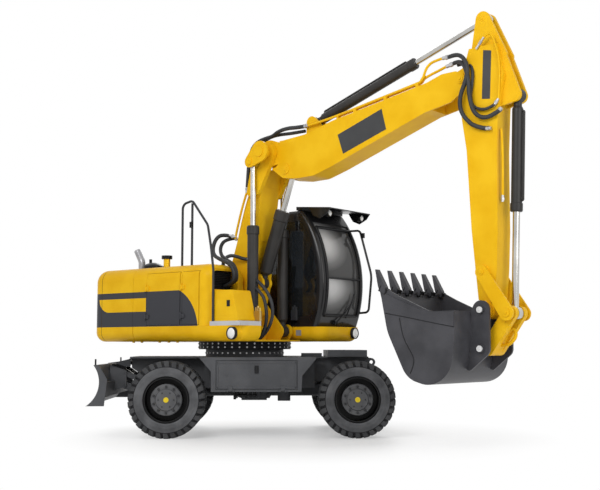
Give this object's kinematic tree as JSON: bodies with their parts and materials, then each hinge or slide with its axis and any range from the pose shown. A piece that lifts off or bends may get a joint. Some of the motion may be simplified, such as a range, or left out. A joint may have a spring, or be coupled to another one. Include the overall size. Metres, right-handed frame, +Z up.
{
  "type": "wheeled excavator",
  "caption": "Wheeled excavator with a two-piece boom, bucket, side cab, twin tyres and a rear dozer blade, its upper machine slewed to the side.",
  "frame": {"origin": "centre of the bounding box at ground level", "axes": "+X the way the boom reaches, +Y the left of the upper machine, +Z up; the undercarriage stands turned by 41 degrees"},
  "size_m": [7.1704, 4.6333, 5.367],
  "materials": {
    "yellow_paint": "gloss",
    "dark_paint": "satin",
    "rim_paint": "satin",
    "tyre": "matte",
    "chrome": "polished",
    "glass": "tinted",
    "lamp": "gloss",
    "bright_steel": "brushed",
    "black_plastic": "matte",
    "seat_fabric": "woven"
  },
  "bodies": {
    "undercarriage": {"chassis_frame": "dark_paint", "slew_ring": "dark_paint", "rear_axle": "dark_paint", "front_axle": "dark_paint", "drive_line": "dark_paint", "side_boxes": "dark_paint"},
    "side_box_door_left": {"side_box_door_left": "dark_paint"},
    "side_box_door_right": {"side_box_door_right": "dark_paint"},
    "blade_arms": {"blade_arms": "dark_paint"},
    "blade_links": {"blade_links": "dark_paint"},
    "blade": {"dozer_blade": "dark_paint"},
    "blade_barrels": {"blade_barrels": "dark_paint"},
    "blade_rods": {"blade_rods": "chrome"},
    "knuckle_left": {"knuckle_left": "dark_paint"},
    "knuckle_right": {"knuckle_right": "dark_paint"},
    "upper": {"upper_frame": "dark_paint", "counterweight": "yellow_paint", "hood_shell": "yellow_paint", "engine_block": "dark_paint", "tread_plate": "bright_steel", "front_box": "yellow_paint", "handrails": "dark_paint", "roof_fittings": "bright_steel", "cab_shell": "dark_paint", "cab_glass": "glass", "controls": "black_plastic", "seat": "seat_fabric", "visor_guard": "dark_paint", "work_lamps": "lamp"},
    "engine_bonnet": {"engine_bonnet": "dark_paint"},
    "service_door_right": {"service_door_right": "yellow_paint"},
    "pump_door_right": {"pump_door_right": "yellow_paint"},
    "service_door_left": {"service_door_left": "yellow_paint"},
    "cab_door": {"cab_door": "dark_paint", "cab_door_glass": "glass"},
    "lower_boom": {"lower_boom": "yellow_paint"},
    "upper_boom": {"upper_boom": "yellow_paint", "boom_pipes": "bright_steel"},
    "dipper": {"dipper": "yellow_paint"},
    "bucket": {"bucket": "dark_paint"},
    "tipping_links": {"tipping_links": "yellow_paint"},
    "bucket_link": {"bucket_link": "yellow_paint"},
    "wheel_rear_left": {"wheel_rear_left": "rim_paint", "tyres_rear_left": "tyre"},
    "wheel_rear_right": {"wheel_rear_right": "rim_paint", "tyres_rear_right": "tyre"},
    "wheel_front_left": {"wheel_front_left": "rim_paint", "tyres_front_left": "tyre"},
    "wheel_front_right": {"wheel_front_right": "rim_paint", "tyres_front_right": "tyre"},
    "lift_barrel": {"lift_barrel": "dark_paint"},
    "lift_rod": {"lift_rod": "chrome"},
    "positioner_barrel": {"positioner_barrel": "dark_paint"},
    "positioner_rod": {"positioner_rod": "chrome"},
    "stick_ram_barrel": {"stick_ram_barrel": "dark_paint"},
    "stick_ram_rod": {"stick_ram_rod": "chrome"},
    "bucket_ram_barrel": {"bucket_ram_barrel": "dark_paint"},
    "bucket_ram_rod": {"bucket_ram_rod": "chrome"}
  },
  "joints": [
    {"name": "slew", "type": "hinge", "parent": "undercarriage", "child": "upper", "pos_m": [-1.165, 0, 1.318], "axis": [0, 0, 1], "continuous": true},
    {"name": "lower_boom", "type": "hinge", "parent": "upper", "child": "lower_boom", "pos_m": [-0.812, -0.26, 1.787], "axis": [0, -1, 0], "range_deg": [-60, 6]},
    {"name": "upper_boom", "type": "hinge", "parent": "lower_boom", "child": "upper_boom", "pos_m": [-0.304, -0.26, 3.98], "axis": [0, -1, 0], "range_deg": [-15, 45]},
    {"name": "dipper", "type": "hinge", "parent": "upper_boom", "child": "dipper", "pos_m": [2.818, -0.26, 4.542], "axis": [0, 1, 0], "range_deg": [-75, 36]},
    {"name": "bucket", "type": "hinge", "parent": "dipper", "child": "bucket", "pos_m": [3.106, -0.26, 1.68], "axis": [0, 1, 0], "range_deg": [-120, 8]},
    {"name": "lift_barrel_turn", "type": "hinge", "parent": "upper", "child": "lift_barrel", "pos_m": [-0.489, -0.26, 1.465], "axis": [0, 1, 0], "range_deg": [-5.78, 55.95]},
    {"name": "lift_rod_slide", "type": "slide", "parent": "lift_barrel", "child": "lift_rod", "axis": [0, 0, 1], "range_m": [-0.4135, 0.0432]},
    {"name": "positioner_barrel_turn", "type": "hinge", "parent": "lower_boom", "child": "positioner_barrel", "pos_m": [-0.592, -0.26, 2.149], "axis": [0, 1, 0], "range_deg": [-0.41, 0.83]},
    {"name": "positioner_rod_slide", "type": "slide", "parent": "positioner_barrel", "child": "positioner_rod", "axis": [0.3517, 0, 0.9361], "range_m": [-0.0964, 0.2851]},
    {"name": "stick_barrel_turn", "type": "hinge", "parent": "upper_boom", "child": "stick_ram_barrel", "pos_m": [0.39, -0.26, 4.352], "axis": [0, 1, 0], "range_deg": [-7.72, 3.81]},
    {"name": "stick_rod_slide", "type": "slide", "parent": "stick_ram_barrel", "child": "stick_ram_rod", "axis": [0.9461, 0, 0.3239], "range_m": [-0.864, 0.4157]},
    {"name": "tipping_link_turn", "type": "hinge", "parent": "dipper", "child": "tipping_links", "pos_m": [3.078, -0.26, 2.134], "axis": [0, 1, 0], "range_deg": [-84.13, 5.79]},
    {"name": "bucket_link_turn", "type": "hinge", "parent": "tipping_links", "child": "bucket_link", "pos_m": [3.399, -0.26, 1.641], "axis": [0, 1, 0], "range_deg": [-3.77, 53.71]},
    {"name": "bucket_barrel_turn", "type": "hinge", "parent": "dipper", "child": "bucket_ram_barrel", "pos_m": [3.496, -0.26, 4.259], "axis": [0, 1, 0], "range_deg": [-7.49, 0.69]},
    {"name": "bucket_rod_slide", "type": "slide", "parent": "bucket_ram_barrel", "child": "bucket_ram_rod", "axis": [-0.037, 0, -0.9993], "range_m": [-0.6943, 0.0482]},
    {"name": "blade_arms", "type": "hinge", "parent": "undercarriage", "child": "blade_arms", "pos_m": [-2.10839, -0.82007, 0.5], "axis": [0.6561, -0.7547, 0], "range_deg": [0, 49]},
    {"name": "blade_link_turn", "type": "hinge", "parent": "undercarriage", "child": "blade_links", "pos_m": [-2.10839, -0.82007, 0.67], "axis": [0.6561, -0.7547, 0], "range_deg": [-0.2, 49.2]},
    {"name": "blade_tilt", "type": "hinge", "parent": "blade_arms", "child": "blade", "pos_m": [-2.47819, -1.14154, 0.7], "axis": [0.6561, -0.7547, 0], "range_deg": [-49.2, 0.2]},
    {"name": "blade_barrel_turn", "type": "hinge", "parent": "undercarriage", "child": "blade_barrels", "pos_m": [-2.13858, -0.84632, 0.62], "axis": [-0.6561, 0.7547, 0], "range_deg": [-47.84, 0.2]},
    {"name": "blade_rod_slide", "type": "slide", "parent": "blade_barrels", "child": "blade_rods", "axis": [-0.6177, -0.5369, 0.5746], "range_m": [-0.1096, 0.002]},
    {"name": "steer_left", "type": "hinge", "parent": "undercarriage", "child": "knuckle_left", "pos_m": [-0.3702, 1.47267, 0.525], "axis": [0, 0, 1], "range_deg": [-25, 25]},
    {"name": "steer_right", "type": "hinge", "parent": "undercarriage", "child": "knuckle_right", "pos_m": [0.40395, 0.58211, 0.525], "axis": [0, 0, 1], "range_deg": [-25.2, 25.2]},
    {"name": "wheel_rear_left", "type": "hinge", "parent": "undercarriage", "child": "wheel_rear_left", "pos_m": [-2.58896, 0.06201, 0.525], "axis": [-0.6561, 0.7547, 0], "continuous": true},
    {"name": "wheel_rear_right", "type": "hinge", "parent": "undercarriage", "child": "wheel_rear_right", "pos_m": [-1.30178, -1.41874, 0.525], "axis": [-0.6561, 0.7547, 0], "continuous": true},
    {"name": "wheel_front_left", "type": "hinge", "parent": "knuckle_left", "child": "wheel_front_left", "pos_m": [-0.62672, 1.76776, 0.525], "axis": [-0.6561, 0.7547, 0], "continuous": true},
    {"name": "wheel_front_right", "type": "hinge", "parent": "knuckle_right", "child": "wheel_front_right", "pos_m": [0.66047, 0.28702, 0.525], "axis": [-0.6561, 0.7547, 0], "continuous": true},
    {"name": "side_box_door_left", "type": "hinge", "parent": "undercarriage", "child": "side_box_door_left", "pos_m": [-1.99557, 0.95546, 0.656], "axis": [-0.7547, -0.6561, 0], "range_deg": [0, 95]},
    {"name": "side_box_door_right", "type": "hinge", "parent": "undercarriage", "child": "side_box_door_right", "pos_m": [-0.33443, -0.95546, 0.656], "axis": [0.7547, 0.6561, 0], "range_deg": [0, 95]},
    {"name": "service_door_right", "type": "hinge", "parent": "upper", "child": "service_door_right", "pos_m": [-2.009, -1.216, 1.9225], "axis": [0, 0, -1], "range_deg": [0, 100]},
    {"name": "pump_door_right", "type": "hinge", "parent": "upper", "child": "pump_door_right", "pos_m": [-1.279, -1.216, 1.9225], "axis": [0, 0, -1], "range_deg": [0, 100]},
    {"name": "service_door_left", "type": "hinge", "parent": "upper", "child": "service_door_left", "pos_m": [-2.269, 1.216, 1.9225], "axis": [0, 0, 1], "range_deg": [0, 100]},
    {"name": "engine_bonnet", "type": "hinge", "parent": "upper", "child": "engine_bonnet", "pos_m": [-1.693, 0.23, 2.432], "axis": [0, 1, 0], "range_deg": [0, 70]},
    {"name": "cab_door", "type": "hinge", "parent": "upper", "child": "cab_door", "pos_m": [-0.919, 1.256, 2.3], "axis": [0, 0, 1], "range_deg": [0, 100]}
  ],
  "couplings": [
    {"joint": "lift_barrel_turn", "follows": "lower_boom", "ratio": -0.92925},
    {"joint": "lift_rod_slide", "follows": "lower_boom", "m_per_rad": 0.393},
    {"joint": "positioner_barrel_turn", "follows": "upper_boom", "ratio": 0.01411},
    {"joint": "positioner_rod_slide", "follows": "upper_boom", "m_per_rad": 0.36048},
    {"joint": "stick_barrel_turn", "follows": "dipper", "ratio": 0.10022},
    {"joint": "stick_rod_slide", "follows": "dipper", "m_per_rad": 0.65849},
    {"joint": "tipping_link_turn", "follows": "bucket", "ratio": 0.69941},
    {"joint": "bucket_link_turn", "follows": "bucket", "ratio": -0.4459},
    {"joint": "bucket_barrel_turn", "follows": "bucket", "ratio": 0.06078},
    {"joint": "bucket_rod_slide", "follows": "bucket", "m_per_rad": 0.33055},
    {"joint": "blade_link_turn", "follows": "blade_arms", "ratio": 1},
    {"joint": "blade_tilt", "follows": "blade_arms", "ratio": -1},
    {"joint": "blade_barrel_turn", "follows": "blade_arms", "ratio": -0.97224},
    {"joint": "blade_rod_slide", "follows": "blade_arms", "m_per_rad": -0.12585},
    {"joint": "steer_right", "follows": "steer_left", "ratio": 1}
  ]
}
